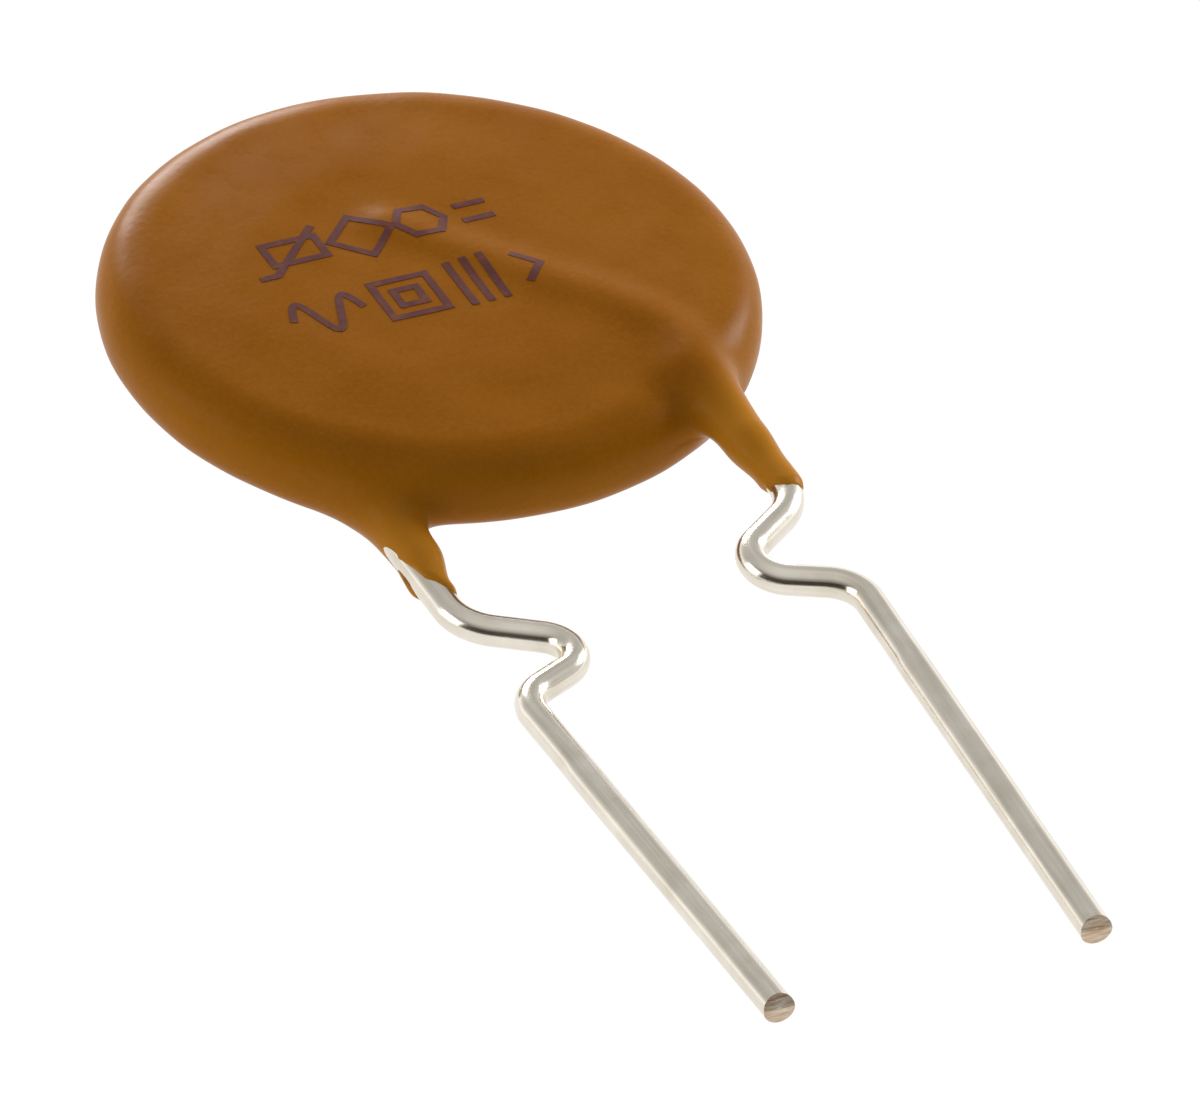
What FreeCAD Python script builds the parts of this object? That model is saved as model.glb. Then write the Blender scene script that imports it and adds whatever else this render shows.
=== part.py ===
import FreeCAD, Part
import math
import os

# Resettable fuse, 0.9 A class: a conductive polymer disc between two foils, a tinned copper
# lead soldered across each foil, and one dip-coated epoxy skin round the disc and down both leads.
# It lies face up: X runs across the leads, the leads point along -Y, +Z is the marked face.
# Sizes are in millimetres. The origin is under the middle of the bounding box, on the surface
# that the part lies on; every shape is drawn about the middle of the disc and moved there last.

# Disc
disc_diameter = 10.46
edge_wall = 0.45
face_wall = 0.55
lead_sector = 80.0

# Polymer chip, foils and solder
polymer_thickness = 0.30
foil_thickness = 0.035
foil_margin = 0.15
solder_gap = 0.02
solder_width = 1.10
solder_climb = 0.38
solder_end_margin = 0.35
solder_length = 3.25
solder_waist = 0.62
solder_sag = 0.30

# Leads
wire_diameter = 0.50
lead_pitch = 5.68
lead_bend_inset = 2.57
lead_bend_radius = 1.60
lead_bend_angle = 38.7
lead_soldered_length = 4.60
kink_offset = 2.10
kink_reach = 1.89
kink_drop = 1.32
kink_return = 0.89
kink_first_radius = 1.00
kink_apex_radius = 0.60
kink_last_radius = 0.74
tail_length = 9.22
front_toe_in = 2.2
rear_toe_in = -0.2
front_tail_tilt = -1.1
rear_tail_tilt = -3.2
tip_bevel = 20.0

# Coating over the leads: a ridge on each face, and a leg down each lead past the rim
ridge_wall = 0.30
ridge_outer_width = 2.30
ridge_inner_width = 1.60
ridge_fade = 1.30
ridge_rise = 2.60
ridge_bend_radius = 3.0
ridge_foot_inset = 0.06
shoulder_inset = 0.20
root_wall = 0.14
leg_end_wall = 0.07
leg_height_spare = 0.03
web_inset = 0.80
web_outer_width = 0.62
web_inner_width = 0.95
web_length = 0.95
neck_length = 1.75
front_leg_length = 1.55
rear_leg_length = 0.72
front_leg_slant = 14.0
rear_leg_slant = -22.0
leg_overrun = 0.40

# Worked out from the sizes above
disc_radius = disc_diameter / 2
wire_radius = wire_diameter / 2
chip_radius = disc_radius - edge_wall
foil_radius = chip_radius - foil_margin
polymer_face = polymer_thickness / 2
foil_face = polymer_face + foil_thickness
face_level = foil_face + face_wall
wire_level = foil_face + solder_gap + wire_radius
ridge_level = wire_level + wire_radius + ridge_wall
bend_y = disc_radius - lead_bend_inset
bend_x = lead_pitch / 2
rim_y = math.sqrt(disc_radius ** 2 - bend_x ** 2)
bell_steps = 4
ridge_sections = 12

UP = FreeCAD.Vector(0, 0, 1)
CENTRE = FreeCAD.Vector(0, 0, 0)


def turned(vector, degrees, axis=UP):
    """The vector turned about an axis through the origin."""
    return FreeCAD.Rotation(axis, degrees).multVec(vector)


def unit(vector):
    """A copy of the vector with a length of one."""
    return FreeCAD.Vector(vector).normalize()


TO_BEND = turned(FreeCAD.Vector(0, -1, 0), lead_bend_angle)
LEAD_BEND = FreeCAD.Vector(bend_x, -bend_y, 0)


def rear_of(point):
    """The point straight below, as far under the middle plane as this one is above it."""
    return FreeCAD.Vector(point.x, point.y, -point.z)


def rear_twin(shape):
    """The shape turned half round the Y axis, from the front face to the rear face."""
    copy = shape.copy()
    copy.rotate(CENTRE, FreeCAD.Vector(0, 1, 0), 180)
    return copy


def rounded_path(points, radii):
    """Straight runs through the points, joined by tangent arcs of the given radii."""
    edges = []
    start = points[0]
    for corner, after, radius in zip(points[1:-1], points[2:], radii):
        back = unit(start - corner)
        onward = unit(after - corner)
        turn = math.pi - back.getAngle(onward)
        reach = radius * math.tan(turn / 2)
        inward = unit(back + onward)
        middle = corner + inward * (radius / math.cos(turn / 2) - radius)
        arc_start = corner + back * reach
        arc_end = corner + onward * reach
        edges.append(Part.LineSegment(start, arc_start).toShape())
        edges.append(Part.Arc(arc_start, middle, arc_end).toShape())
        start = arc_end
    edges.append(Part.LineSegment(start, points[-1]).toShape())
    return Part.Wire(edges)


def lead_corners(toe_in, tail_tilt):
    """Corners of a lead's centre line, from its soldered end to its tip, as on the front face."""
    inner_end = LEAD_BEND - TO_BEND * lead_soldered_length
    kink_in = FreeCAD.Vector(bend_x, -(disc_radius + kink_offset), 0)
    down_tail = turned(FreeCAD.Vector(0, -1, 0), -toe_in)
    slope = FreeCAD.Vector(0, 0, math.tan(math.radians(tail_tilt)))
    kink_apex = kink_in + FreeCAD.Vector(-kink_reach, -kink_drop, 0) + slope * kink_drop
    kink_out = kink_in + FreeCAD.Vector(0, -(kink_drop + kink_return), 0)
    kink_out = kink_out + slope * (kink_drop + kink_return)
    tip = kink_out + down_tail * tail_length + slope * tail_length
    lift = FreeCAD.Vector(0, 0, wire_level)
    return [point + lift for point in (inner_end, LEAD_BEND, kink_in, kink_apex, kink_out, tip)]


def tip_cutter(tip, outward, face_side):
    """A wedge that slopes one half of the wire's end, as side cutters leave it."""
    side = unit(outward.cross(UP))
    across = unit(side.cross(outward)) * face_side
    set_back = wire_diameter * math.tan(math.radians(tip_bevel))
    high = tip + across * wire_diameter - outward * set_back
    corners = [tip, high, high + outward * lead_pitch, tip + outward * lead_pitch, tip]
    face = Part.Face(Part.makePolygon([corner - side * wire_diameter for corner in corners]))
    return face.extrude(side * (2 * wire_diameter))


def make_lead(toe_in, tail_tilt, face_side):
    """Round wire bent along its centre line; its tip slopes on the side of the marked face."""
    corners = lead_corners(toe_in, tail_tilt)
    radii = [lead_bend_radius, kink_first_radius, kink_apex_radius, kink_last_radius]
    path = rounded_path(corners, radii)
    start_direction = unit(corners[1] - corners[0])
    profile = Part.Wire(Part.Circle(corners[0], start_direction, wire_radius).toShape())
    wire = path.makePipe(Part.Face(profile))
    return wire.cut(tip_cutter(corners[-1], unit(corners[-1] - corners[-2]), face_side))


def make_solder(lead):
    """Solder drawn up both sides of the wire along its run on the foil."""
    along = TO_BEND
    across = unit(along.cross(UP))
    start = LEAD_BEND + along * (solder_end_margin - lead_soldered_length)
    half = solder_width / 2
    top = foil_face + solder_climb
    foot_left = start - across * half + UP * foil_face
    foot_right = start + across * half + UP * foil_face
    waist = half * solder_waist
    sag = foil_face + solder_climb * solder_sag
    bead_left = start - across * wire_radius + UP * top
    bead_right = start + across * wire_radius + UP * top
    left_flank = Part.Arc(foot_left, start - across * waist + UP * sag, bead_left).toShape()
    right_flank = Part.Arc(bead_right, start + across * waist + UP * sag, foot_right).toShape()
    bridge = Part.LineSegment(bead_left, bead_right).toShape()
    foot = Part.LineSegment(foot_right, foot_left).toShape()
    fillet = Part.Face(Part.Wire([left_flank, bridge, right_flank, foot])).extrude(along * solder_length)
    return fillet.cut(lead)


def make_disc_sector(level, radius, start, sweep):
    """A sector of a coated disc: flat faces at the given level and a full round rim."""
    top_inner = FreeCAD.Vector(0, 0, level)
    top_outer = FreeCAD.Vector(radius - level, 0, level)
    outermost = FreeCAD.Vector(radius, 0, 0)
    edges = [
        Part.LineSegment(top_inner, top_outer).toShape(),
        Part.Arc(top_outer, outermost, rear_of(top_outer)).toShape(),
        Part.LineSegment(rear_of(top_outer), rear_of(top_inner)).toShape(),
        Part.LineSegment(rear_of(top_inner), top_inner).toShape(),
    ]
    sector = Part.Face(Part.Wire(edges)).revolve(CENTRE, UP, sweep)
    sector.rotate(CENTRE, UP, start)
    return sector


def make_disc():
    """The coated disc, in one sector for each lead and one for the rest of the rim."""
    front = make_disc_sector(face_level, disc_radius, -90, lead_sector)
    rear = make_disc_sector(face_level, disc_radius, -90 - lead_sector, lead_sector)
    rest = make_disc_sector(face_level, disc_radius, lead_sector - 90, 360 - 2 * lead_sector)
    return front.fuse([rear, rest])


def ridge_section(middle, along, crest):
    """One closed section of the ridge over a lead: a bell that starts from inside the disc."""
    across = unit(UP.cross(along))
    foot = face_level - ridge_foot_inset
    points = []
    for step in range(-bell_steps, bell_steps + 1):
        share = step / bell_steps
        width = ridge_outer_width if share > 0 else ridge_inner_width
        rise = (crest - foot) * math.cos(share * math.pi / 2) ** 2
        points.append(middle + across * (width * share) + UP * (foot + rise))
    bell = Part.BSplineCurve()
    bell.interpolate(points)
    corners = [points[-1], points[-1] - UP * foot, points[0] - UP * foot, points[0]]
    base = Part.makePolygon(corners)
    return Part.Wire([bell.toShape()] + base.Edges)


def make_ridge():
    """Ridge that the lead raises on the front face: it rises slowly and runs out over the rim."""
    start = LEAD_BEND - TO_BEND * (lead_soldered_length + ridge_fade)
    beyond = FreeCAD.Vector(bend_x, -disc_radius, 0)
    path = rounded_path([start, LEAD_BEND, beyond], [ridge_bend_radius])
    points = path.discretize(Number=ridge_sections)
    sections = []
    for step, point in enumerate(points):
        before = points[max(step - 1, 0)]
        after = points[min(step + 1, ridge_sections - 1)]
        share = min(1, path.Length * step / (ridge_sections - 1) / ridge_rise)
        share = share * share * (3 - 2 * share)
        crest = face_level + (ridge_level - face_level) * share
        sections.append(ridge_section(point, unit(after - before), crest))
    ridge = Part.makeLoft(sections, True, False)
    return ridge.common(make_disc_sector(ridge_level, disc_radius - shoulder_inset, 0, 360))


def leg_section(place, outer, inner, height):
    """One oval section of a leg at a distance past the rim, wider towards either side."""
    middle = FreeCAD.Vector(bend_x + (outer - inner) / 2, -(rim_y + place), wire_level)
    half_width = (outer + inner) / 2
    if half_width > height:
        oval = Part.Ellipse(CENTRE, half_width, height)
    else:
        oval = Part.Circle(CENTRE, UP, half_width)
    wire = Part.Wire(oval.toShape())
    wire.rotate(CENTRE, FreeCAD.Vector(1, 0, 0), 90)
    wire.translate(middle)
    return wire


def make_leg(leg_length, end_slant):
    """Skin drawn down one lead: a web at the rim, a neck and a slanted end."""
    root = wire_radius + root_wall
    end = wire_radius + leg_end_wall
    leg_end = disc_radius + leg_length + leg_overrun - rim_y
    sections = [
        leg_section(-web_inset, web_outer_width, web_outer_width, root + leg_height_spare),
        leg_section(0, web_outer_width, web_inner_width, root + leg_height_spare),
        leg_section(web_length / 2, (web_outer_width + root) / 2, (web_inner_width + root) / 2, root),
        leg_section(web_length, root, root, root),
        leg_section(neck_length, end, end, end),
        leg_section(leg_end, end, end, end),
    ]
    leg = Part.makeLoft(sections, True, False)
    size = lead_pitch
    cutter = Part.makeBox(size, size, size, FreeCAD.Vector(-size / 2, -size, -size / 2))
    cutter.rotate(CENTRE, UP, end_slant)
    cutter.translate(FreeCAD.Vector(bend_x, -(disc_radius + leg_length), wire_level))
    return leg.cut(cutter)


def moved_to_rest(shapes):
    """Every shape moved so that the bounding box stands on the origin by the middle of its base."""
    box = Part.makeCompound(list(shapes.values())).optimalBoundingBox(False, False)
    to_origin = FreeCAD.Vector(-box.Center.x, -box.Center.y, -box.ZMin)
    moved = {}
    for name, shape in shapes.items():
        copy = shape.copy()
        copy.translate(to_origin)
        moved[name] = copy
    return moved


polymer_disc = Part.makeCylinder(chip_radius, polymer_thickness, FreeCAD.Vector(0, 0, -polymer_face))
front_foil = Part.makeCylinder(foil_radius, foil_thickness, FreeCAD.Vector(0, 0, polymer_face))
rear_foil = rear_twin(front_foil)
front_lead = make_lead(front_toe_in, front_tail_tilt, 1)
rear_lead_face_up = make_lead(rear_toe_in, rear_tail_tilt, -1)
rear_lead = rear_twin(rear_lead_face_up)
front_solder = make_solder(front_lead)
rear_solder = rear_twin(make_solder(rear_lead_face_up))

ridge = make_ridge()
front_leg = make_leg(front_leg_length, front_leg_slant)
rear_leg = rear_twin(make_leg(rear_leg_length, rear_leg_slant))
skin = make_disc().fuse([ridge, rear_twin(ridge), front_leg, rear_leg])
inner_parts = [polymer_disc, front_foil, rear_foil, front_solder, rear_solder, front_lead, rear_lead]
coating = skin.cut(inner_parts)

assembly = moved_to_rest({
    "coating": coating,
    "polymer_disc": polymer_disc,
    "front_foil": front_foil,
    "rear_foil": rear_foil,
    "front_solder": front_solder,
    "rear_solder": rear_solder,
    "front_lead": front_lead,
    "rear_lead": rear_lead,
})
os.makedirs("parts", exist_ok=True)
for name, shape in assembly.items():
    shape.exportStep(os.path.join("parts", name + ".step"))
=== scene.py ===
import math

import bpy
import numpy as np
from mathutils import Matrix, Vector


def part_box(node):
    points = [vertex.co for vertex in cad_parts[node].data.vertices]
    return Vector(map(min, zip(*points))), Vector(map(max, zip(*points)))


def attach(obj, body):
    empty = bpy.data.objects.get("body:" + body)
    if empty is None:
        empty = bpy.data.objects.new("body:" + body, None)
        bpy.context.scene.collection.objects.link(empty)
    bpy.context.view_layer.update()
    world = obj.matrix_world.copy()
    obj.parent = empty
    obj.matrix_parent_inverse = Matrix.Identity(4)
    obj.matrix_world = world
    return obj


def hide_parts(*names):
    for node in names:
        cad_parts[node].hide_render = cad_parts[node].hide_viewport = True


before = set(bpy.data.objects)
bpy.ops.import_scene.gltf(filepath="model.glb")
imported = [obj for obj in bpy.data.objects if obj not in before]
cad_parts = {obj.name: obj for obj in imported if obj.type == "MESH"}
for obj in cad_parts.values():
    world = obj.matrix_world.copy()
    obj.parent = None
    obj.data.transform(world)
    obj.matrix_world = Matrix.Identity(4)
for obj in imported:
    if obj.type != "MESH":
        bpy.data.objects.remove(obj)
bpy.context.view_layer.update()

# Looks of the resettable fuse. Shapes are worked out in millimetres about the middle of the disc:
# X across the leads, the leads along -Y, +Z the marked face. They are moved to the frame last.
MM = 0.001
disc_low, disc_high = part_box("polymer_disc")
DISC_CENTRE = (disc_low + disc_high) / 2
skin_low, skin_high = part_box("coating")
DISC_RADIUS = (skin_high.x - skin_low.x) / 2 / MM

# Disc: a faintly domed face, above the part's flat face in the middle and level with it near the rim
FACE_LEVEL = 0.85
RIM_REACH = 0.85
RIM_SQUARENESS = 2.3
CORE_SHARE = 0.05
LEAST_UPRIGHT = 1e-3
SAG_START = 2.7
SAG_END = 0.45
SAG_DEPTH = 0.115

# Leads, as in the part, with the rear one moved 0.015 outwards to meet the photograph
WIRE_RADIUS = 0.25
WIRE_LEVEL = 0.455
BEND_INSET = 2.57
BEND_ANGLE = 38.7
BEND_RADIUS = 1.60
SOLDERED_LENGTH = 4.60
KINK_OFFSET = 2.10
KINK_REACH = 1.89
KINK_DROP = 1.32
KINK_RETURN = 0.89
KINK_RADII = (1.00, 0.60, 0.74)
TAIL_LENGTH = 9.22
FRONT_LEAD = {"bend_x": 2.84, "toe_in": 2.2, "tilt": -1.1}
REAR_LEAD = {"bend_x": 2.855, "toe_in": -0.2, "tilt": -3.2}

# Ends of the leads: a tail pressed a little flat from below the kink on, and a sheared tip
PRESS_START = 1.9
PRESS_RUN = 0.35
PRESS_WIDENING = 0.055
PRESS_THINNING = 0.045
SHEAR_RUN = 0.6
TIP_BEVEL = 20.0
TIP_SHARES = (0.86, 0.66, 0.46, 0.26, 0.1)
WIRE_SIDES = 40
WIRE_STEP = 0.06
SHARP_ANGLE = 30.0

# Skin over the leads
RIDGE_TOP = 0.92
RIDGE_FADE = 0.30
RIDGE_RISE = 4.6
RIDGE_BEND_RADIUS = 3.0
RIDGE_CREST = 0.46
RIDGE_OUTER_FALL = 0.95
RIDGE_INNER_FALL = 0.55
RIDGE_LEAN = 0.34
RIDGE_STRAIGHT = 5.4
BURIED_RADIUS = 0.30
FRONT_ROOT_RADIUS = 0.47
REAR_ROOT_RADIUS = 0.44
NECK_RADIUS = 0.375
LEG_WALL = 0.05
LEG_LIP = 0.16
LIP_POWER = 0.6
PAST_END_SLOPE = 0.8
WEB_BLEND = 0.70
FRONT_LEG_LEAN = 0.03
REAR_LEG_LEAN = 0.14

# Places along a leg from the disc's rim on, and the run from the neck to the leg's even wall
BURIED_PLACE = -1.6
ROOT_PLACE = -0.3
NECK_PLACE = 1.15
WALL_RUN = 0.9
LEAN_START = -1.6
LEAN_FULL = (-0.6, 1.0)
LEAN_END = 2.0

# Where the skin stops round each lead: degrees from the face side towards the outer side, and Y
FRONT_END = ((-150, -6.70), (-101, -6.76), (-90, -6.80), (-80, -7.12), (-70, -6.96), (-36, -7.10),
             (-5, -7.18), (17, -7.14), (60, -7.12), (120, -6.95))
REAR_END = ((-163, -6.55), (-140, -6.72), (-90, -6.62), (-20, -6.25), (45, -6.20), (78, -6.06),
            (88, -5.66), (115, -5.62), (142, -5.96), (153, -6.26), (178, -6.40))

# Small unevenness of the dipped skin; a wave is its share of the height, how fast it turns along
# X, Y and Z, and its offset
WAVES = ((1.0, 2.1, 1.3, 0.0, 0.5), (1.0, -2.6, 1.7, 1.0, 1.9),
         (0.6, 4.3, 3.1, 2.0, 0.0), (0.5, -3.7, 5.2, 0.0, 0.7))
WAVE_HEIGHT = 0.0030
WAVE_ROOM = 0.012
DIMPLE_PLACE = (2.02, -4.28)
DIMPLE_RADIUS = 0.40
DIMPLE_DEPTH = 0.07

# Ink marks: plain shapes in two rows, as a stamp leaves them; X and Y on the face
INK_WIDTH = 0.125
INK_STEP = 0.07
INK_RISE = 0.008
INK_DEPTH = 0.012
CROSSING_RISE = 0.0006
SHARPEST_CORNER = 0.5
DRAPE_ROUNDS = 6
DRAPE_STEP = 0.1
ROW_ONE = (0.50, 1.55)
SIGN_SPAN = (-2.35, -1.45)
SIGN_HALF_HEIGHT = 0.27
SIGN_STROKE = (-2.72, -2.42, -1.38)
DIAMOND_X = -0.76
HEXAGON_X = 0.26
HEXAGON_RADIUS = 0.42
LEVEL_BARS_SPAN = (0.92, 1.46)
LEVEL_BARS_RISE = 0.2
ROW_TWO = (-1.30, -0.12)
WAVE_LINE_SPAN = (-2.70, -1.50)
WAVE_LINE_SWING = 0.42
WAVE_LINE_PERIOD = 0.8
WAVE_LINE_POINTS = 25
BOXES_X = -0.72
BOX_HALF_SIZES = (0.47, 0.20)
UPRIGHT_BARS_X = (0.16, 0.44, 0.72)
TICK_SPAN = (1.18, 1.52)
TICK_INSET = 0.2

# Grid of the skin's mesh, with finer steps round the legs, and how its vertices are settled
COARSE_STEP = 0.085
FINE_STEP = 0.045
LEG_HALF_SPAN = 0.75
LEG_TOP_Y = -4.3
GRID_MARGIN = 0.12
SETTLE_ROUNDS = 3
EVEN_ROUNDS = 3
LAST_ROUNDS = 2
LEAST_STEEPNESS = 0.05
SLOPE_STEP = 1e-3

# Camera: about 28 degrees round from the leads to the left and 36 up, with a long lens that looks
# at a point to the right of the disc's middle and below it
CAMERA_AZIMUTH = 27.648
CAMERA_ELEVATION = 35.930
CAMERA_ROLL = 4.040
CAMERA_DISTANCE = 544.1
AIM_RIGHT, AIM_DOWN = 2.669, 3.890
PIXELS_PER_MM = 64.0
IMAGE_WIDTH = 1200
SENSOR_WIDTH = 36.0
CLIP_END = 10.0

# Painted sheen on the epoxy, standing in for the light that the curved rim catches: it starts inside
# the disc's rim and is full past it, on the legs
SHEEN_START = 0.6
SHEEN_REACH = 1.0
SHEEN_SHARE = 0.7

# Finishes of the hidden pieces
POLYMER = {"dark": (0.012, 0.012, 0.013), "light": (0.03, 0.03, 0.032), "roughness": 0.6,
           "metallic": 0.0, "scale": 6}
NICKEL = {"dark": (0.46, 0.44, 0.40), "light": (0.60, 0.58, 0.53), "roughness": 0.38,
          "metallic": 1.0, "scale": 9}
SOLDER = {"dark": (0.50, 0.50, 0.51), "light": (0.68, 0.68, 0.69), "roughness": 0.3,
          "metallic": 1.0, "scale": 5}
INNER_PIECES = (("polymer_disc", "black_polymer", POLYMER),
                ("front_foil", "front_nickel", NICKEL), ("rear_foil", "rear_nickel", NICKEL),
                ("front_solder", "front_solder", SOLDER), ("rear_solder", "rear_solder", SOLDER))
ROUGHNESS_SPREAD = 0.06

# Values between which most of a noise lies
NOISE_LOW = 0.3
NOISE_HIGH = 0.7

# Sockets of a mix node that mixes colours
MIX_SHARE, MIX_FIRST, MIX_SECOND, MIX_RESULT = 0, 6, 7, 2

# Softboxes: degrees round from the lead side and up, distance and size in metres, power in watts
SOFTBOXES = (("right_softbox", 256, 18, 0.5, 0.2, 1.7), ("left_softbox", 105, 14, 0.5, 0.3, 0.7),
             ("rear_softbox", 190, 10, 0.5, 0.2, 1.9))
FLOOR_HALF_SIZE = 0.6

# Tent: brightness of its wall by the sine of the angle above the floor, and of the dark room
# that its open side shows towards the camera
WALL_LEVELS = ((0.0, 1.5), (0.12, 1.2), (0.30, 0.66), (0.5, 0.54), (0.8, 0.60), (1.0, 0.80))
ROOM_LEVELS = ((0.0, (0.05, 0.04, 0.03)), (0.48, (0.05, 0.04, 0.03)), (0.62, (0.32, 0.31, 0.30)),
               (0.82, (0.66, 0.66, 0.66)), (1.0, (0.80, 0.80, 0.80)))
DARK_FROM = -0.10
DARK_FULL = 0.25
TENT_STRENGTH = 1.0


def unit(vector):
    """The vector with a length of one."""
    return vector / np.linalg.norm(vector)


def smooth_step(value):
    """0 below 0, 1 above 1, eased between."""
    share = np.clip(value, 0, 1)
    return share * share * (3 - 2 * share)


def eased(place, keys):
    """Values eased from key to key; a key is a place and its value."""
    value = np.full(np.shape(place), float(keys[0][1]))
    for (start, first), (end, second) in zip(keys, keys[1:]):
        value = value + (second - first) * smooth_step((place - start) / (end - start))
    return value


class Run:
    """One stretch of a centre line: straight, or an arc when it has a centre."""

    def __init__(self, start, direction, length, centre=None):
        self.start, self.direction, self.length, self.centre = start, direction, length, centre
        if centre is not None:
            self.radius = np.linalg.norm(start - centre)
            self.outward = (start - centre) / self.radius

    def at(self, place):
        """Points and directions at places along the run."""
        place = np.asarray(place, float)[..., None]
        if self.centre is None:
            return self.start + self.direction * place, self.direction + 0 * place
        turn = place / self.radius
        spoke = self.outward * np.cos(turn) + self.direction * np.sin(turn)
        onward = self.direction * np.cos(turn) - self.outward * np.sin(turn)
        return self.centre + spoke * self.radius, onward

    def nearest(self, points):
        """Places along the run that are nearest to the points."""
        if self.centre is None:
            return np.clip((points - self.start) @ self.direction, 0, self.length)
        arm = points - self.centre
        turn = np.arctan2(arm @ self.direction, arm @ self.outward)
        return np.clip(turn * self.radius, 0, self.length)


def rounded_path(corners, radii):
    """Straight runs through the corners, joined by tangent arcs of the given radii."""
    runs = []
    start = corners[0]
    for corner, after, radius in zip(corners[1:-1], corners[2:], radii):
        arriving = unit(corner - start)
        leaving = unit(after - corner)
        turn = math.acos(float(arriving @ leaving))
        reach = radius * math.tan(turn / 2)
        arc_start = corner - arriving * reach
        inward = unit(leaving - arriving)
        centre = corner + inward * (radius / math.cos(turn / 2))
        runs.append(Run(start, arriving, np.linalg.norm(arc_start - start)))
        runs.append(Run(arc_start, arriving, radius * turn, centre))
        start = corner + leaving * reach
    last = corners[-1] - start
    runs.append(Run(start, unit(last), np.linalg.norm(last)))
    return runs


def lead_corners(lead, inner_length):
    """Corners of a lead's centre line from its inner end to its tip, as on the front face."""
    bend = np.array([lead["bend_x"], -(DISC_RADIUS - BEND_INSET), 0])
    bend_angle = math.radians(BEND_ANGLE)
    inner_end = bend - np.array([math.sin(bend_angle), -math.cos(bend_angle), 0]) * inner_length
    toe_in = math.radians(lead["toe_in"])
    slope = np.array([0, 0, math.tan(math.radians(lead["tilt"]))])
    down_tail = np.array([-math.sin(toe_in), -math.cos(toe_in), 0])
    kink_in = np.array([lead["bend_x"], -(DISC_RADIUS + KINK_OFFSET), 0])
    kink_apex = kink_in + np.array([-KINK_REACH, -KINK_DROP, 0]) + slope * KINK_DROP
    kink_length = KINK_DROP + KINK_RETURN
    kink_out = kink_in + np.array([0, -kink_length, 0]) + slope * kink_length
    tip = kink_out + (down_tail + slope) * TAIL_LENGTH
    lift = np.array([0, 0, WIRE_LEVEL])
    return [corner + lift for corner in (inner_end, bend, kink_in, kink_apex, kink_out, tip)]


def lead_path(lead, inner_length=SOLDERED_LENGTH, bend_radius=BEND_RADIUS):
    """A lead's centre line as runs and arcs."""
    return rounded_path(lead_corners(lead, inner_length), (bend_radius,) + KINK_RADII)


class Cover:
    """What the skin needs to know of one lead, as on the front face."""

    RUNS_USED = 5

    def __init__(self, lead, end_edge, root_radius, lean):
        self.root_radius, self.lean = root_radius, lean
        path = lead_path(lead, SOLDERED_LENGTH + RIDGE_FADE, RIDGE_BEND_RADIUS)
        self.runs = path[:self.RUNS_USED]
        self.starts = np.cumsum([0] + [run.length for run in self.runs])
        rim_y = math.sqrt(DISC_RADIUS ** 2 - lead["bend_x"] ** 2)
        self.rim = self.starts[2] + (rim_y + self.runs[2].start[1])
        self.end_angles = [angle for angle, _ in end_edge]
        self.end_places = [self.starts[2] + self.runs[2].start[1] - y for _, y in end_edge]

    def measure(self, x, y):
        """Place along the lead, distance to its outer side and plain distance, seen from above."""
        points = np.stack([x, y, np.full_like(x, WIRE_LEVEL)], 1)
        best = np.full(len(points), np.inf)
        place, side = np.zeros(len(points)), np.zeros(len(points))
        for run, start in zip(self.runs, self.starts):
            along = run.nearest(points)
            middle, onward = run.at(along)
            away = points - middle
            distance = np.hypot(away[:, 0], away[:, 1])
            closer = distance < best
            best = np.where(closer, distance, best)
            place = np.where(closer, start + along, place)
            sideways = away[:, 1] * onward[:, 0] - away[:, 0] * onward[:, 1]
            side = np.where(closer, sideways, side)
        return place, side, best

    def ridge(self, place, side):
        """How far the ridge over the lead lifts the face, from 0 to 1 at its full height."""
        side = side + RIDGE_LEAN * (1 - smooth_step(place / RIDGE_STRAIGHT))
        fall = np.where(side > 0, RIDGE_OUTER_FALL, RIDGE_INNER_FALL)
        away = (np.sqrt(side ** 2 + RIDGE_CREST ** 2) - RIDGE_CREST) / fall
        return smooth_step(place / RIDGE_RISE) * np.exp(-away)

    def leg(self, place, side, distance, z):
        """Distance to the round skin over the wire, which thins out to nothing at its ragged end."""
        angle = np.degrees(np.arctan2(side, z - WIRE_LEVEL))
        end = np.interp(angle, self.end_angles, self.end_places, period=360)
        left = end - place
        keys = ((self.rim + BURIED_PLACE, BURIED_RADIUS),
                (self.rim + ROOT_PLACE, self.root_radius),
                (self.rim + NECK_PLACE, NECK_RADIUS),
                (self.rim + NECK_PLACE + WALL_RUN, WIRE_RADIUS + LEG_WALL))
        full = eased(place, keys) - WIRE_RADIUS
        lip = full * np.clip(left / LEG_LIP, 0, 1) ** LIP_POWER
        wall = np.where(left > 0, lip, left * PAST_END_SLOPE)
        lean_keys = ((self.rim + LEAN_START, 0), (self.rim + LEAN_FULL[0], self.lean),
                     (self.rim + LEAN_FULL[1], self.lean), (self.rim + LEAN_END, 0))
        lean = eased(place, lean_keys)
        beyond = np.maximum(distance ** 2 - side ** 2, 0)
        from_middle = np.sqrt(beyond + (side + lean) ** 2 + (z - WIRE_LEVEL) ** 2)
        return from_middle - (WIRE_RADIUS + wall)


FRONT_COVER = Cover(FRONT_LEAD, FRONT_END, FRONT_ROOT_RADIUS, FRONT_LEG_LEAN)
REAR_COVER = Cover(REAR_LEAD, REAR_END, REAR_ROOT_RADIUS, REAR_LEG_LEAN)


def smooth_min(first, second, blend):
    """The smaller of two distances, with a fillet where they meet."""
    overlap = np.maximum(blend - np.abs(first - second), 0) / blend
    return np.minimum(first, second) - overlap ** 3 * blend / 6


def waves(x, y, z):
    """The slight unevenness of a dipped skin."""
    total = 0
    for share, along_x, along_y, along_z, offset in WAVES:
        total = total + share * np.sin(along_x * x + along_y * y + along_z * z + offset)
    return total * WAVE_HEIGHT


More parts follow.
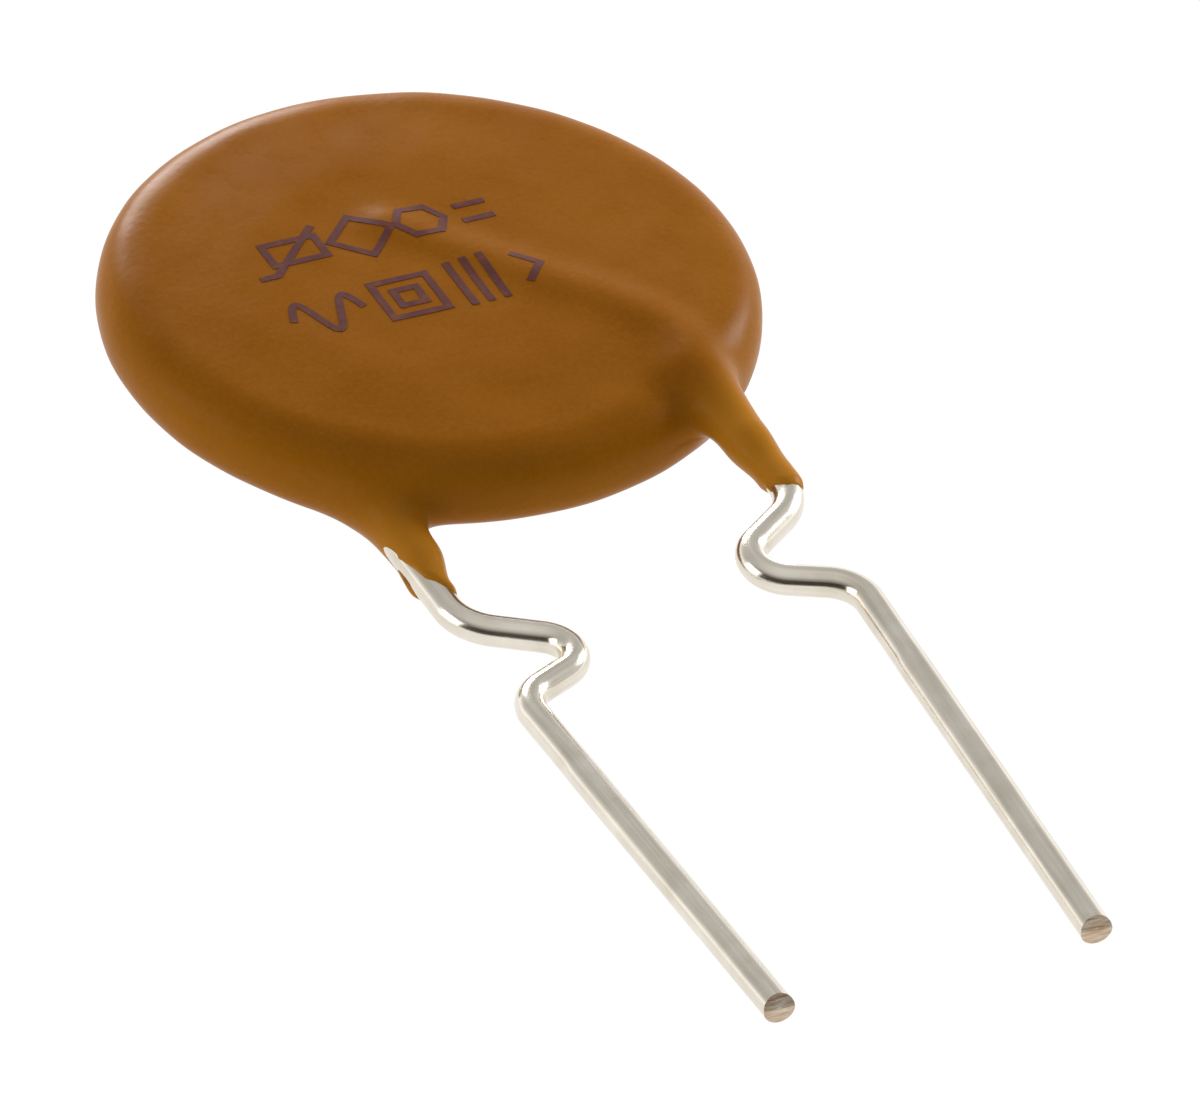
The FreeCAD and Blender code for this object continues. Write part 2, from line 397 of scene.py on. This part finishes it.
def skin_distance(points):
    """Rough signed distance from points to the outside of the dipped skin."""
    x, y, z = points.T
    front = FRONT_COVER.measure(x, y)
    rear = REAR_COVER.measure(-x, y)
    ridge = np.where(z > 0, FRONT_COVER.ridge(*front[:2]), REAR_COVER.ridge(*rear[:2]))
    from_axis = np.hypot(x, y)
    sag = smooth_step((from_axis - DISC_RADIUS + SAG_START) / (SAG_START - SAG_END)) * SAG_DEPTH
    face = FACE_LEVEL - sag
    height = face + (RIDGE_TOP - face) * ridge
    over = np.maximum(from_axis - (DISC_RADIUS - WAVE_ROOM - RIM_REACH), 0)
    across, upright = over / RIM_REACH, np.maximum(np.abs(z) / height, LEAST_UPRIGHT)
    power = RIM_SQUARENESS
    near = (across ** power + upright ** power) ** (1 / power)
    steep = np.hypot(across ** (power - 1) / RIM_REACH, upright ** (power - 1) / height)
    distance = (near - 1) * near ** (power - 1) / steep
    distance = np.where(near < CORE_SHARE, -FACE_LEVEL, distance)
    distance = smooth_min(distance, FRONT_COVER.leg(*front, z), WEB_BLEND)
    distance = smooth_min(distance, REAR_COVER.leg(*rear, -z), WEB_BLEND)
    to_dimple = np.hypot(x - DIMPLE_PLACE[0], y - DIMPLE_PLACE[1]) / DIMPLE_RADIUS
    dimple = DIMPLE_DEPTH * np.exp(-to_dimple ** 2) * (z > 0)
    return distance + dimple + waves(x, y, z)


def slope_of(distance, points):
    """Gradient of a distance at points, by small differences."""
    parts = []
    for axis in range(3):
        shift = np.zeros(3)
        shift[axis] = SLOPE_STEP
        parts.append((distance(points + shift) - distance(points - shift)) / (2 * SLOPE_STEP))
    return np.stack(parts, 1)


def settle(distance, points, rounds):
    """Points moved onto the zero level of a distance, no further than a step a round."""
    for _ in range(rounds):
        slope = slope_of(distance, points)
        away = distance(points) / np.maximum((slope ** 2).sum(1), LEAST_STEEPNESS)
        points = points - np.clip(away, -COARSE_STEP, COARSE_STEP)[:, None] * slope
    return points


def surface_net(distance, axes):
    """Vertices and outward quads over the zero level of a distance, on a grid of unequal steps."""
    grid = np.stack(np.meshgrid(*axes, indexing="ij"), -1)
    shape = grid.shape[:3]
    inside = (distance(grid.reshape(-1, 3)) < 0).reshape(shape)
    held = np.zeros([size - 1 for size in shape], int)
    for i in (0, 1):
        for j in (0, 1):
            for k in (0, 1):
                held += inside[i:shape[0] - 1 + i, j:shape[1] - 1 + j, k:shape[2] - 1 + k]
    cells = np.argwhere((held > 0) & (held < 8))
    number = np.full(held.shape, -1)
    number[tuple(cells.T)] = np.arange(len(cells))
    middles = [(axis[:-1] + axis[1:]) / 2 for axis in axes]
    points = np.stack([middle[cells[:, axis]] for axis, middle in enumerate(middles)], 1)
    quads = []
    for axis in range(3):
        first = np.take(inside, range(shape[axis] - 1), axis)
        second = np.take(inside, range(1, shape[axis]), axis)
        edges = np.argwhere(first != second)
        across, upward = np.eye(3, dtype=int)[[(axis + 1) % 3, (axis + 2) % 3]]
        around = [edges - across - upward, edges - upward, edges, edges - across]
        ring = np.stack([number[tuple(cell.T)] for cell in around], 1)
        inward = ~first[tuple(edges.T)]
        ring[inward] = ring[inward, ::-1]
        quads.append(ring)
    return points, np.concatenate(quads)


def relaxed(points, quads, rounds, distance):
    """Vertices evened out along the surface, each round settled back onto it."""
    pairs = np.concatenate([quads[:, [i, (i + 1) % 4]] for i in range(4)])
    count = np.bincount(pairs[:, 0], minlength=len(points))[:, None]
    for _ in range(rounds):
        total = np.zeros_like(points)
        np.add.at(total, pairs[:, 0], points[pairs[:, 1]])
        points = settle(distance, 0.5 * points + 0.5 * total / count, 1)
    return settle(distance, points, LAST_ROUNDS)


def stepped_axis(low, high, fine_spans):
    """Grid places from low to high, closer together inside the fine spans."""
    places = [low]
    while places[-1] < high:
        fine = any(start <= places[-1] <= end for start, end in fine_spans)
        places.append(places[-1] + (FINE_STEP if fine else COARSE_STEP))
    return np.array(places)


def new_object(name, points, faces, materials, smooth=True):
    """A mesh object from points in millimetres about the disc's centre."""
    mesh = bpy.data.meshes.new(name)
    mesh.from_pydata((np.asarray(points) * MM + np.array(DISC_CENTRE)).tolist(), [], faces)
    for material in materials:
        mesh.materials.append(material)
    mesh.polygons.foreach_set("use_smooth", [smooth] * len(mesh.polygons))
    mesh.update()
    piece = bpy.data.objects.new(name, mesh)
    bpy.context.scene.collection.objects.link(piece)
    return piece


def turned_round(points):
    """Points turned half round the Y axis, from the front face to the rear face."""
    return points * np.array([-1, 1, -1])


# Materials

def new_material(name):
    """A new node material, its node tree and its shader."""
    material = bpy.data.materials.new(name)
    material.use_nodes = True
    tree = material.node_tree
    return material, tree, tree.nodes["Principled BSDF"]


def add_node(tree, kind, inputs=None, **settings):
    """A node with its settings, and each input linked to a socket or set to a value."""
    node = tree.nodes.new(kind)
    for key, value in settings.items():
        setattr(node, key, value)
    for key, value in (inputs or {}).items():
        if isinstance(value, bpy.types.NodeSocket):
            tree.links.new(value, node.inputs[key])
        else:
            node.inputs[key].default_value = value
    return node


def millimetre_place(tree):
    """Object coordinates in millimetres."""
    place = add_node(tree, "ShaderNodeTexCoord").outputs["Object"]
    scaled = add_node(tree, "ShaderNodeVectorMath", {0: place, 3: 1 / MM}, operation="SCALE")
    return scaled.outputs["Vector"]


def noise_of(tree, place, scale, detail=3.0, roughness=0.5):
    """A noise value of about 0 to 1."""
    inputs = {"Vector": place, "Scale": scale, "Detail": detail, "Roughness": roughness}
    return add_node(tree, "ShaderNodeTexNoise", inputs).outputs["Fac"]


def ramp(tree, value, stops):
    """A colour ramp; a stop is a place and a colour."""
    node = add_node(tree, "ShaderNodeValToRGB", {"Fac": value})
    elements = node.color_ramp.elements
    while len(elements) < len(stops):
        elements.new(0.5)
    for element, (place, colour) in zip(elements, stops):
        element.position = place
        element.color = (*colour, 1)
    return node.outputs["Color"]


def span(tree, value, low, high):
    """A noise value spread over low to high."""
    inputs = {"Value": value, "From Min": NOISE_LOW, "From Max": NOISE_HIGH,
              "To Min": low, "To Max": high}
    return add_node(tree, "ShaderNodeMapRange", inputs).outputs["Result"]


def mean_of(tree, first, second):
    """Half way between two values."""
    both = add_node(tree, "ShaderNodeMath", {0: first, 1: second}, operation="ADD")
    half = add_node(tree, "ShaderNodeMath", {0: both.outputs[0], 1: 0.5}, operation="MULTIPLY")
    return half.outputs[0]


def times(tree, place, factors):
    """A place with X, Y and Z each multiplied by a factor."""
    node = add_node(tree, "ShaderNodeVectorMath", {0: place, 1: factors}, operation="MULTIPLY")
    return node.outputs["Vector"]


def colour_mix(tree, share, first, second):
    """The first colour where the share is 0, the second where it is 1."""
    inputs = {MIX_SHARE: share, MIX_FIRST: first, MIX_SECOND: second}
    return add_node(tree, "ShaderNodeMix", inputs, data_type="RGBA").outputs[MIX_RESULT]


def bump(tree, shader, height, distance):
    """Relief from a height, its distance in millimetres."""
    inputs = {"Height": height, "Distance": distance * MM, "Strength": 1.0}
    normal = add_node(tree, "ShaderNodeBump", inputs).outputs["Normal"]
    tree.links.new(normal, shader.inputs["Normal"])


def from_disc_axis(tree, place):
    """How far a place is from the disc's axis, seen from above."""
    to_centre = tuple(DISC_CENTRE / MM * -1)
    centred = add_node(tree, "ShaderNodeVectorMath", {0: place, 1: to_centre}, operation="ADD")
    level = times(tree, centred.outputs["Vector"], (1, 1, 0))
    return add_node(tree, "ShaderNodeVectorMath", {0: level}, operation="LENGTH").outputs["Value"]


def epoxy_material():
    """Ochre dipping epoxy: mottled pigment, with a painted sheen that lightens it towards the disc's
    rim and on the legs, and a fine orange peel.
    """
    material, tree, shader = new_material("ochre_epoxy")
    place = millimetre_place(tree)
    cloud = noise_of(tree, place, scale=0.55)
    grain = noise_of(tree, place, scale=14.0, detail=2)
    colour = ramp(tree, mean_of(tree, cloud, grain), ((0.36, (0.250, 0.081, 0.0026)),
                                                      (0.50, (0.272, 0.091, 0.0032)),
                                                      (0.64, (0.296, 0.102, 0.0040))))
    # Painted sheen: the colour is mixed towards light tan from inside the rim outwards, in place of
    # the light that the rim and legs catch
    sheen_range = {"Value": from_disc_axis(tree, place), "From Min": DISC_RADIUS - SHEEN_START,
            "From Max": DISC_RADIUS + SHEEN_REACH, "To Max": SHEEN_SHARE}
    painted_sheen = add_node(tree, "ShaderNodeMapRange", sheen_range, interpolation_type="SMOOTHSTEP")
    sheened_colour = colour_mix(tree, painted_sheen.outputs["Result"], colour, (0.46, 0.190, 0.014, 1))
    tree.links.new(sheened_colour, shader.inputs["Base Color"])
    gloss = noise_of(tree, place, scale=2.2)
    tree.links.new(span(tree, gloss, 0.26, 0.32), shader.inputs["Roughness"])
    shader.inputs["Specular IOR Level"].default_value = 0.03
    bump(tree, shader, noise_of(tree, place, scale=7.0, detail=2), distance=0.004)
    return material


def tin_material():
    """Bright tin plating, a little cloudy, with fine drawing streaks along the wire."""
    material, tree, shader = new_material("tinned_wire")
    wire = add_node(tree, "ShaderNodeAttribute", attribute_name="wire_place").outputs["Vector"]
    streak = noise_of(tree, times(tree, wire, (0.35, 14, 14)), scale=1.0, detail=4, roughness=0.6)
    cloud = noise_of(tree, wire, scale=1.6)
    colour = ramp(tree, mean_of(tree, streak, cloud), ((0.36, (0.66, 0.60, 0.50)),
                                                       (0.50, (0.74, 0.68, 0.58)),
                                                       (0.64, (0.80, 0.75, 0.66))))
    tree.links.new(colour, shader.inputs["Base Color"])
    shader.inputs["Metallic"].default_value = 1.0
    tree.links.new(span(tree, streak, 0.15, 0.23), shader.inputs["Roughness"])
    bump(tree, shader, streak, distance=0.0015)
    return material


def ink_material():
    """Dark plum stamp ink, a little uneven and worn."""
    material, tree, shader = new_material("plum_ink")
    place = millimetre_place(tree)
    wear = noise_of(tree, place, scale=5.0, detail=4, roughness=0.6)
    colour = ramp(tree, wear, ((0.34, (0.085, 0.018, 0.016)), (0.55, (0.108, 0.027, 0.021)),
                               (0.74, (0.165, 0.050, 0.016))))
    tree.links.new(colour, shader.inputs["Base Color"])
    tree.links.new(span(tree, wear, 0.5, 0.6), shader.inputs["Roughness"])
    shader.inputs["Specular IOR Level"].default_value = 0.1
    bump(tree, shader, wear, distance=0.002)
    return material


def sheared_material():
    """Sheared wire end: copper smeared with tin, scored by the cutter."""
    material, tree, shader = new_material("sheared_copper")
    smear = noise_of(tree, times(tree, millimetre_place(tree), (3, 3, 22)), scale=1.0)
    colour = ramp(tree, smear, ((0.35, (0.46, 0.31, 0.20)), (0.52, (0.58, 0.46, 0.34)),
                                (0.68, (0.68, 0.62, 0.52))))
    tree.links.new(colour, shader.inputs["Base Color"])
    shader.inputs["Metallic"].default_value = 1.0
    tree.links.new(span(tree, smear, 0.34, 0.5), shader.inputs["Roughness"])
    bump(tree, shader, smear, distance=0.006)
    return material


def plain_material(name, dark, light, roughness, metallic, scale):
    """A finish for a hidden piece: a mottled colour with fine relief."""
    material, tree, shader = new_material(name)
    value = noise_of(tree, millimetre_place(tree), scale)
    tree.links.new(ramp(tree, value, ((0.35, dark), (0.65, light))), shader.inputs["Base Color"])
    spread = span(tree, value, roughness - ROUGHNESS_SPREAD, roughness + ROUGHNESS_SPREAD)
    tree.links.new(spread, shader.inputs["Roughness"])
    shader.inputs["Metallic"].default_value = metallic
    bump(tree, shader, value, distance=0.003)
    return material


# Pieces

def make_skin(material):
    """The dipped skin over the disc and down both leads."""
    reach = DISC_RADIUS + GRID_MARGIN
    top = RIDGE_TOP + GRID_MARGIN
    leg_middles = (FRONT_LEAD["bend_x"], -REAR_LEAD["bend_x"])
    leg_spans = [(middle - LEG_HALF_SPAN, middle + LEG_HALF_SPAN) for middle in leg_middles]
    lowest = min(y for _, y in FRONT_END) - WIRE_RADIUS * 2
    axes = (stepped_axis(-reach, reach, leg_spans),
            stepped_axis(lowest, reach, [(-2 * DISC_RADIUS, LEG_TOP_Y)]),
            stepped_axis(-top, top, [(-top, top)]))
    points, quads = surface_net(skin_distance, axes)
    points = settle(skin_distance, points, SETTLE_ROUNDS)
    points = relaxed(points, quads, EVEN_ROUNDS, skin_distance)
    return new_object("dipped_skin", points, quads.tolist(), [material])


def sampled_path(runs):
    """Places along a centre line, at close even steps, with their points and directions."""
    places, middles, onwards = [], [], []
    start = 0
    for run in runs:
        count = max(2, int(run.length / WIRE_STEP))
        along = np.linspace(0, run.length, count, endpoint=run is runs[-1])
        middle, onward = run.at(along)
        places.append(start + along)
        middles.append(middle)
        onwards.append(onward)
        start += run.length
    return map(np.concatenate, (places, middles, onwards))


def wire_rings(lead, bevel_slope):
    """Rings of points from a wire's inner end to the middle of its tip, and the same points as
    place along the wire, across it and up."""
    places, middles, onwards = sampled_path(lead_path(lead))
    total = places[-1]
    angle = np.linspace(0, 2 * math.pi, WIRE_SIDES, endpoint=False)
    side = np.cross(onwards, [0, 0, 1])
    side /= np.linalg.norm(side, axis=1)[:, None]
    upward = np.cross(side, onwards)
    pressed = smooth_step((places - (total - TAIL_LENGTH + PRESS_START)) / PRESS_RUN)
    wide = WIRE_RADIUS * (1 + PRESS_WIDENING * pressed)
    tall = WIRE_RADIUS * (1 - PRESS_THINNING * pressed)
    across = wide[:, None] * np.sin(angle)
    height = tall[:, None] * np.cos(angle)
    sheared = np.clip((places - (total - SHEAR_RUN)) / SHEAR_RUN, 0, 1)[:, None]
    set_back = np.maximum(height * bevel_slope, 0) * sheared
    ring = (middles[:, None, :] + side[:, None, :] * across[..., None]
            + upward[:, None, :] * height[..., None] - onwards[:, None, :] * set_back[..., None])
    place = np.stack([np.broadcast_to(places[:, None], across.shape), across, height], -1)
    rings, place_rings = [ring.reshape(-1, 3)], [place.reshape(-1, 3)]
    for share in TIP_SHARES:
        low = height[-1] * share
        back = np.maximum(low * bevel_slope, 0)
        rings.append(middles[-1] + side[-1] * (across[-1] * share)[:, None]
                     + upward[-1] * low[:, None] - onwards[-1] * back[:, None])
        place_rings.append(np.stack([np.full(WIRE_SIDES, total), across[-1] * share, low], 1))
    return np.concatenate(rings), np.concatenate(place_rings)


def ring_faces(rings, sides, closed=False):
    """Faces between rings of points, and across the two end rings of a row that isn't closed."""
    faces = []
    for row in range(rings if closed else rings - 1):
        after_row = (row + 1) % rings
        for side in range(sides):
            after_side = (side + 1) % sides
            faces.append((row * sides + side, row * sides + after_side,
                          after_row * sides + after_side, after_row * sides + side))
    if not closed:
        faces.append(tuple(range(sides))[::-1])
        faces.append(tuple(range((rings - 1) * sides, rings * sides)))
    return faces


def make_lead(name, lead, turn, materials):
    """A tinned wire with its kink, its pressed tail and its sheared tip."""
    bevel_slope = math.tan(math.radians(TIP_BEVEL)) * (-1 if turn else 1)
    points, place = wire_rings(lead, bevel_slope)
    if turn:
        points = turned_round(points)
    rings = len(points) // WIRE_SIDES
    faces = ring_faces(rings, WIRE_SIDES)
    piece = new_object(name, points, faces, materials)
    mesh = piece.data
    tip_start = (rings - len(TIP_SHARES) - 1) * WIRE_SIDES
    sheared = [1 if number >= tip_start else 0 for number in range(len(faces))]
    sheared[-2] = 0
    mesh.polygons.foreach_set("material_index", sheared)
    mesh.set_sharp_from_angle(angle=math.radians(SHARP_ANGLE))
    attribute = mesh.attributes.new("wire_place", "FLOAT_VECTOR", "POINT")
    attribute.data.foreach_set("vector", place.ravel())
    return piece


def ring_of(middle_x, middle_y, radius, corners, turn=0):
    """A closed outline with even corners, turned by degrees."""
    angles = np.radians(turn) + np.arange(corners + 1) * 2 * math.pi / corners
    return np.stack([middle_x + radius * np.cos(angles), middle_y + radius * np.sin(angles)], 1)


def box_of(left, right, bottom, top):
    """A closed upright box, from its lower left corner."""
    return [(left, bottom), (right, bottom), (right, top), (left, top), (left, bottom)]


def upper_strokes():
    """Lines of the first row: thermistor sign, two level bars, diamond, hexagon."""
    low, high = ROW_ONE
    middle = (low + high) / 2
    foot, bend, end = SIGN_STROKE
    left, right = LEVEL_BARS_SPAN
    strokes = [box_of(*SIGN_SPAN, middle - SIGN_HALF_HEIGHT, middle + SIGN_HALF_HEIGHT)]
    strokes.append([(foot, low), (bend, low), (end, high)])
    for level in (middle - LEVEL_BARS_RISE, middle + LEVEL_BARS_RISE):
        strokes.append([(left, level), (right, level)])
    strokes.append(ring_of(DIAMOND_X, middle, (high - low) / 2, corners=4))
    strokes.append(ring_of(HEXAGON_X, middle, HEXAGON_RADIUS, corners=6))
    return strokes


def lower_strokes():
    """Lines of the second row: wave, two boxes one inside the other, three upright bars, tick."""
    low, high = ROW_TWO
    middle = (low + high) / 2
    left, right = WAVE_LINE_SPAN
    wave_x = np.linspace(left, right, WAVE_LINE_POINTS)
    swing = np.sin((wave_x - left) * 2 * math.pi / WAVE_LINE_PERIOD)
    strokes = [np.stack([wave_x, middle + WAVE_LINE_SWING * swing], 1)]
    for half in BOX_HALF_SIZES:
        strokes.append(ring_of(BOXES_X, middle, half * math.sqrt(2), corners=4, turn=45))
    strokes += [[(x, low), (x, high)] for x in UPRIGHT_BARS_X]
    back, point = TICK_SPAN
    strokes.append([(back, low + TICK_INSET), (point, middle), (back, high - TICK_INSET)])
    return strokes


def evened(line):
    """A line's points with others added so that none are further apart than a step."""
    points = [line[0]]
    for start, end in zip(line, line[1:]):
        count = max(1, math.ceil(np.linalg.norm(end - start) / INK_STEP))
        points += [start + (end - start) * number / count for number in range(1, count + 1)]
    return np.array(points)


def skin_height(x, y):
    """Height of the marked face above the disc's middle plane."""
    points = np.stack([x, y, np.full_like(x, FACE_LEVEL)], 1)
    for _ in range(DRAPE_ROUNDS):
        points[:, 2] -= np.clip(skin_distance(points), -DRAPE_STEP, DRAPE_STEP)
    return points[:, 2]


def strip_edges(points, closed):
    """Left and right edges of a strip of ink along points, mitred at its corners."""
    if closed:
        before, after = np.roll(points, 1, 0), np.roll(points, -1, 0)
    else:
        before = np.vstack([points[:1] * 2 - points[1], points[:-1]])
        after = np.vstack([points[1:], points[-1:] * 2 - points[-2]])
    arriving = (points - before) / np.linalg.norm(points - before, axis=1)[:, None]
    leaving = (after - points) / np.linalg.norm(after - points, axis=1)[:, None]
    along = arriving + leaving
    along /= np.linalg.norm(along, axis=1)[:, None]
    across = np.stack([-along[:, 1], along[:, 0]], 1)
    reach = INK_WIDTH / 2 / np.maximum((along * arriving).sum(1), SHARPEST_CORNER)
    return points + across * reach[:, None], points - across * reach[:, None]


def make_ink(material):
    """Stamped marks: slender strips of ink draped over the marked face."""
    all_points, faces = [], []
    start = 0
    for number, stroke in enumerate(upper_strokes() + lower_strokes()):
        line = np.array(stroke, float)
        closed = np.allclose(line[0], line[-1])
        points = evened(line)
        if closed:
            points = points[:-1]
        left, right = strip_edges(points, closed)
        rise = INK_RISE + CROSSING_RISE * (number % 2)
        corners = []
        for edge, lift in ((right, -INK_DEPTH), (right, rise), (left, rise), (left, -INK_DEPTH)):
            height = skin_height(edge[:, 0], edge[:, 1]) + lift
            corners.append(np.column_stack([edge, height]))
        all_points.append(np.stack(corners, 1).reshape(-1, 3))
        # The corners run the other way round than a wire's sides, so each face is turned over
        for a, b, c, d in ring_faces(len(points), len(corners), closed):
            faces.append((start + a, start + d, start + c, start + b))
        start += len(points) * len(corners)
    return new_object("ink_marks", np.concatenate(all_points), faces, [material], smooth=False)


# Stage

def image_axes():
    """Right, down and back directions of the photograph's camera."""
    azimuth, elevation = math.radians(CAMERA_AZIMUTH), math.radians(CAMERA_ELEVATION)
    roll = math.radians(CAMERA_ROLL)
    towards = np.array([-math.sin(azimuth), -math.cos(azimuth), 0])
    level = np.array([math.cos(azimuth), -math.sin(azimuth), 0])
    up = np.array([0, 0, 1])
    down = math.sin(elevation) * towards - math.cos(elevation) * up
    back = math.cos(elevation) * towards + math.sin(elevation) * up
    right = math.cos(roll) * level - math.sin(roll) * down
    return right, math.sin(roll) * level + math.cos(roll) * down, back


def make_camera():
    """The photograph's viewpoint."""
    right, down, back = image_axes()
    place = right * AIM_RIGHT + down * AIM_DOWN + back * CAMERA_DISTANCE
    data = bpy.data.cameras.new("photo_camera")
    data.sensor_width = SENSOR_WIDTH
    data.lens = PIXELS_PER_MM * CAMERA_DISTANCE / IMAGE_WIDTH * SENSOR_WIDTH
    data.clip_end = CLIP_END
    camera = bpy.data.objects.new("photo_camera", data)
    rotation = Matrix([right, -down, back]).transposed().to_4x4()
    camera.matrix_world = Matrix.Translation(DISC_CENTRE + Vector(place * MM)) @ rotation
    bpy.context.scene.collection.objects.link(camera)
    bpy.context.scene.camera = camera


def make_floor():
    """A plain white table that glows evenly, as a light table does."""
    size = FLOOR_HALF_SIZE
    mesh = bpy.data.meshes.new("floor")
    corners = [(-size, -size, 0), (size, -size, 0), (size, size, 0), (-size, size, 0)]
    mesh.from_pydata(corners, [], [(0, 1, 2, 3)])
    floor = bpy.data.objects.new("floor", mesh)
    bpy.context.scene.collection.objects.link(floor)
    material, _, shader = new_material("white_table")
    shader.inputs["Base Color"].default_value = (0.05, 0.05, 0.05, 1)
    shader.inputs["Roughness"].default_value = 0.9
    shader.inputs["Specular IOR Level"].default_value = 0.0
    shader.inputs["Emission Color"].default_value = (1, 1, 1, 1)
    shader.inputs["Emission Strength"].default_value = 1.0
    mesh.materials.append(material)


def add_softbox(name, azimuth, elevation, distance, size, power):
    """A soft square light that faces the disc; azimuth 0 is on the lead side."""
    azimuth, elevation = math.radians(azimuth), math.radians(elevation)
    level = math.cos(elevation)
    away = Vector((-math.sin(azimuth) * level, -math.cos(azimuth) * level, math.sin(elevation)))
    data = bpy.data.lights.new(name, "AREA")
    data.size, data.energy = size, power
    light = bpy.data.objects.new(name, data)
    light.location = DISC_CENTRE + away * distance
    light.rotation_mode = "QUATERNION"
    light.rotation_quaternion = away.to_track_quat("Z", "Y")
    bpy.context.scene.collection.objects.link(light)


def make_world():
    """A white tent, brightest low down, with an open side that shows a dark room."""
    world = bpy.data.worlds.new("white_tent")
    bpy.context.scene.world = world
    world.use_nodes = True
    tree = world.node_tree
    background = tree.nodes["Background"]
    direction = add_node(tree, "ShaderNodeTexCoord").outputs["Generated"]
    _, _, back = image_axes()
    level_back = unit(np.array([back[0], back[1], 0]))
    facing = add_node(tree, "ShaderNodeVectorMath", {0: direction, 1: tuple(level_back)},
                      operation="DOT_PRODUCT").outputs["Value"]
    opening = {"Value": facing, "From Min": DARK_FROM, "From Max": DARK_FULL}
    share = add_node(tree, "ShaderNodeMapRange", opening).outputs["Result"]
    height = add_node(tree, "ShaderNodeSeparateXYZ", {"Vector": direction}).outputs["Z"]
    wall = ramp(tree, height, [(place, (level,) * 3) for place, level in WALL_LEVELS])
    room = ramp(tree, height, ROOM_LEVELS)
    tree.links.new(colour_mix(tree, share, wall, room), background.inputs["Color"])
    background.inputs["Strength"].default_value = TENT_STRENGTH


make_camera()
make_floor()
make_world()
for softbox in SOFTBOXES:
    add_softbox(*softbox)

epoxy = epoxy_material()
tin = tin_material()
sheared = sheared_material()

skin = make_skin(epoxy)
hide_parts("coating")
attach(skin, "root")

ink = make_ink(ink_material())
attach(ink, "root")

for lead_name, node, lead, turn in (("front_wire", "front_lead", FRONT_LEAD, False),
                                    ("rear_wire", "rear_lead", REAR_LEAD, True)):
    wire = make_lead(lead_name, lead, turn, [tin, sheared])
    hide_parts(node)
    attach(wire, "root")

for node, name, finish in INNER_PIECES:
    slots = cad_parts[node].data.materials
    slots.clear()
    slots.append(plain_material(name, **finish))

view = bpy.context.scene.view_settings
view.view_transform = "Standard"
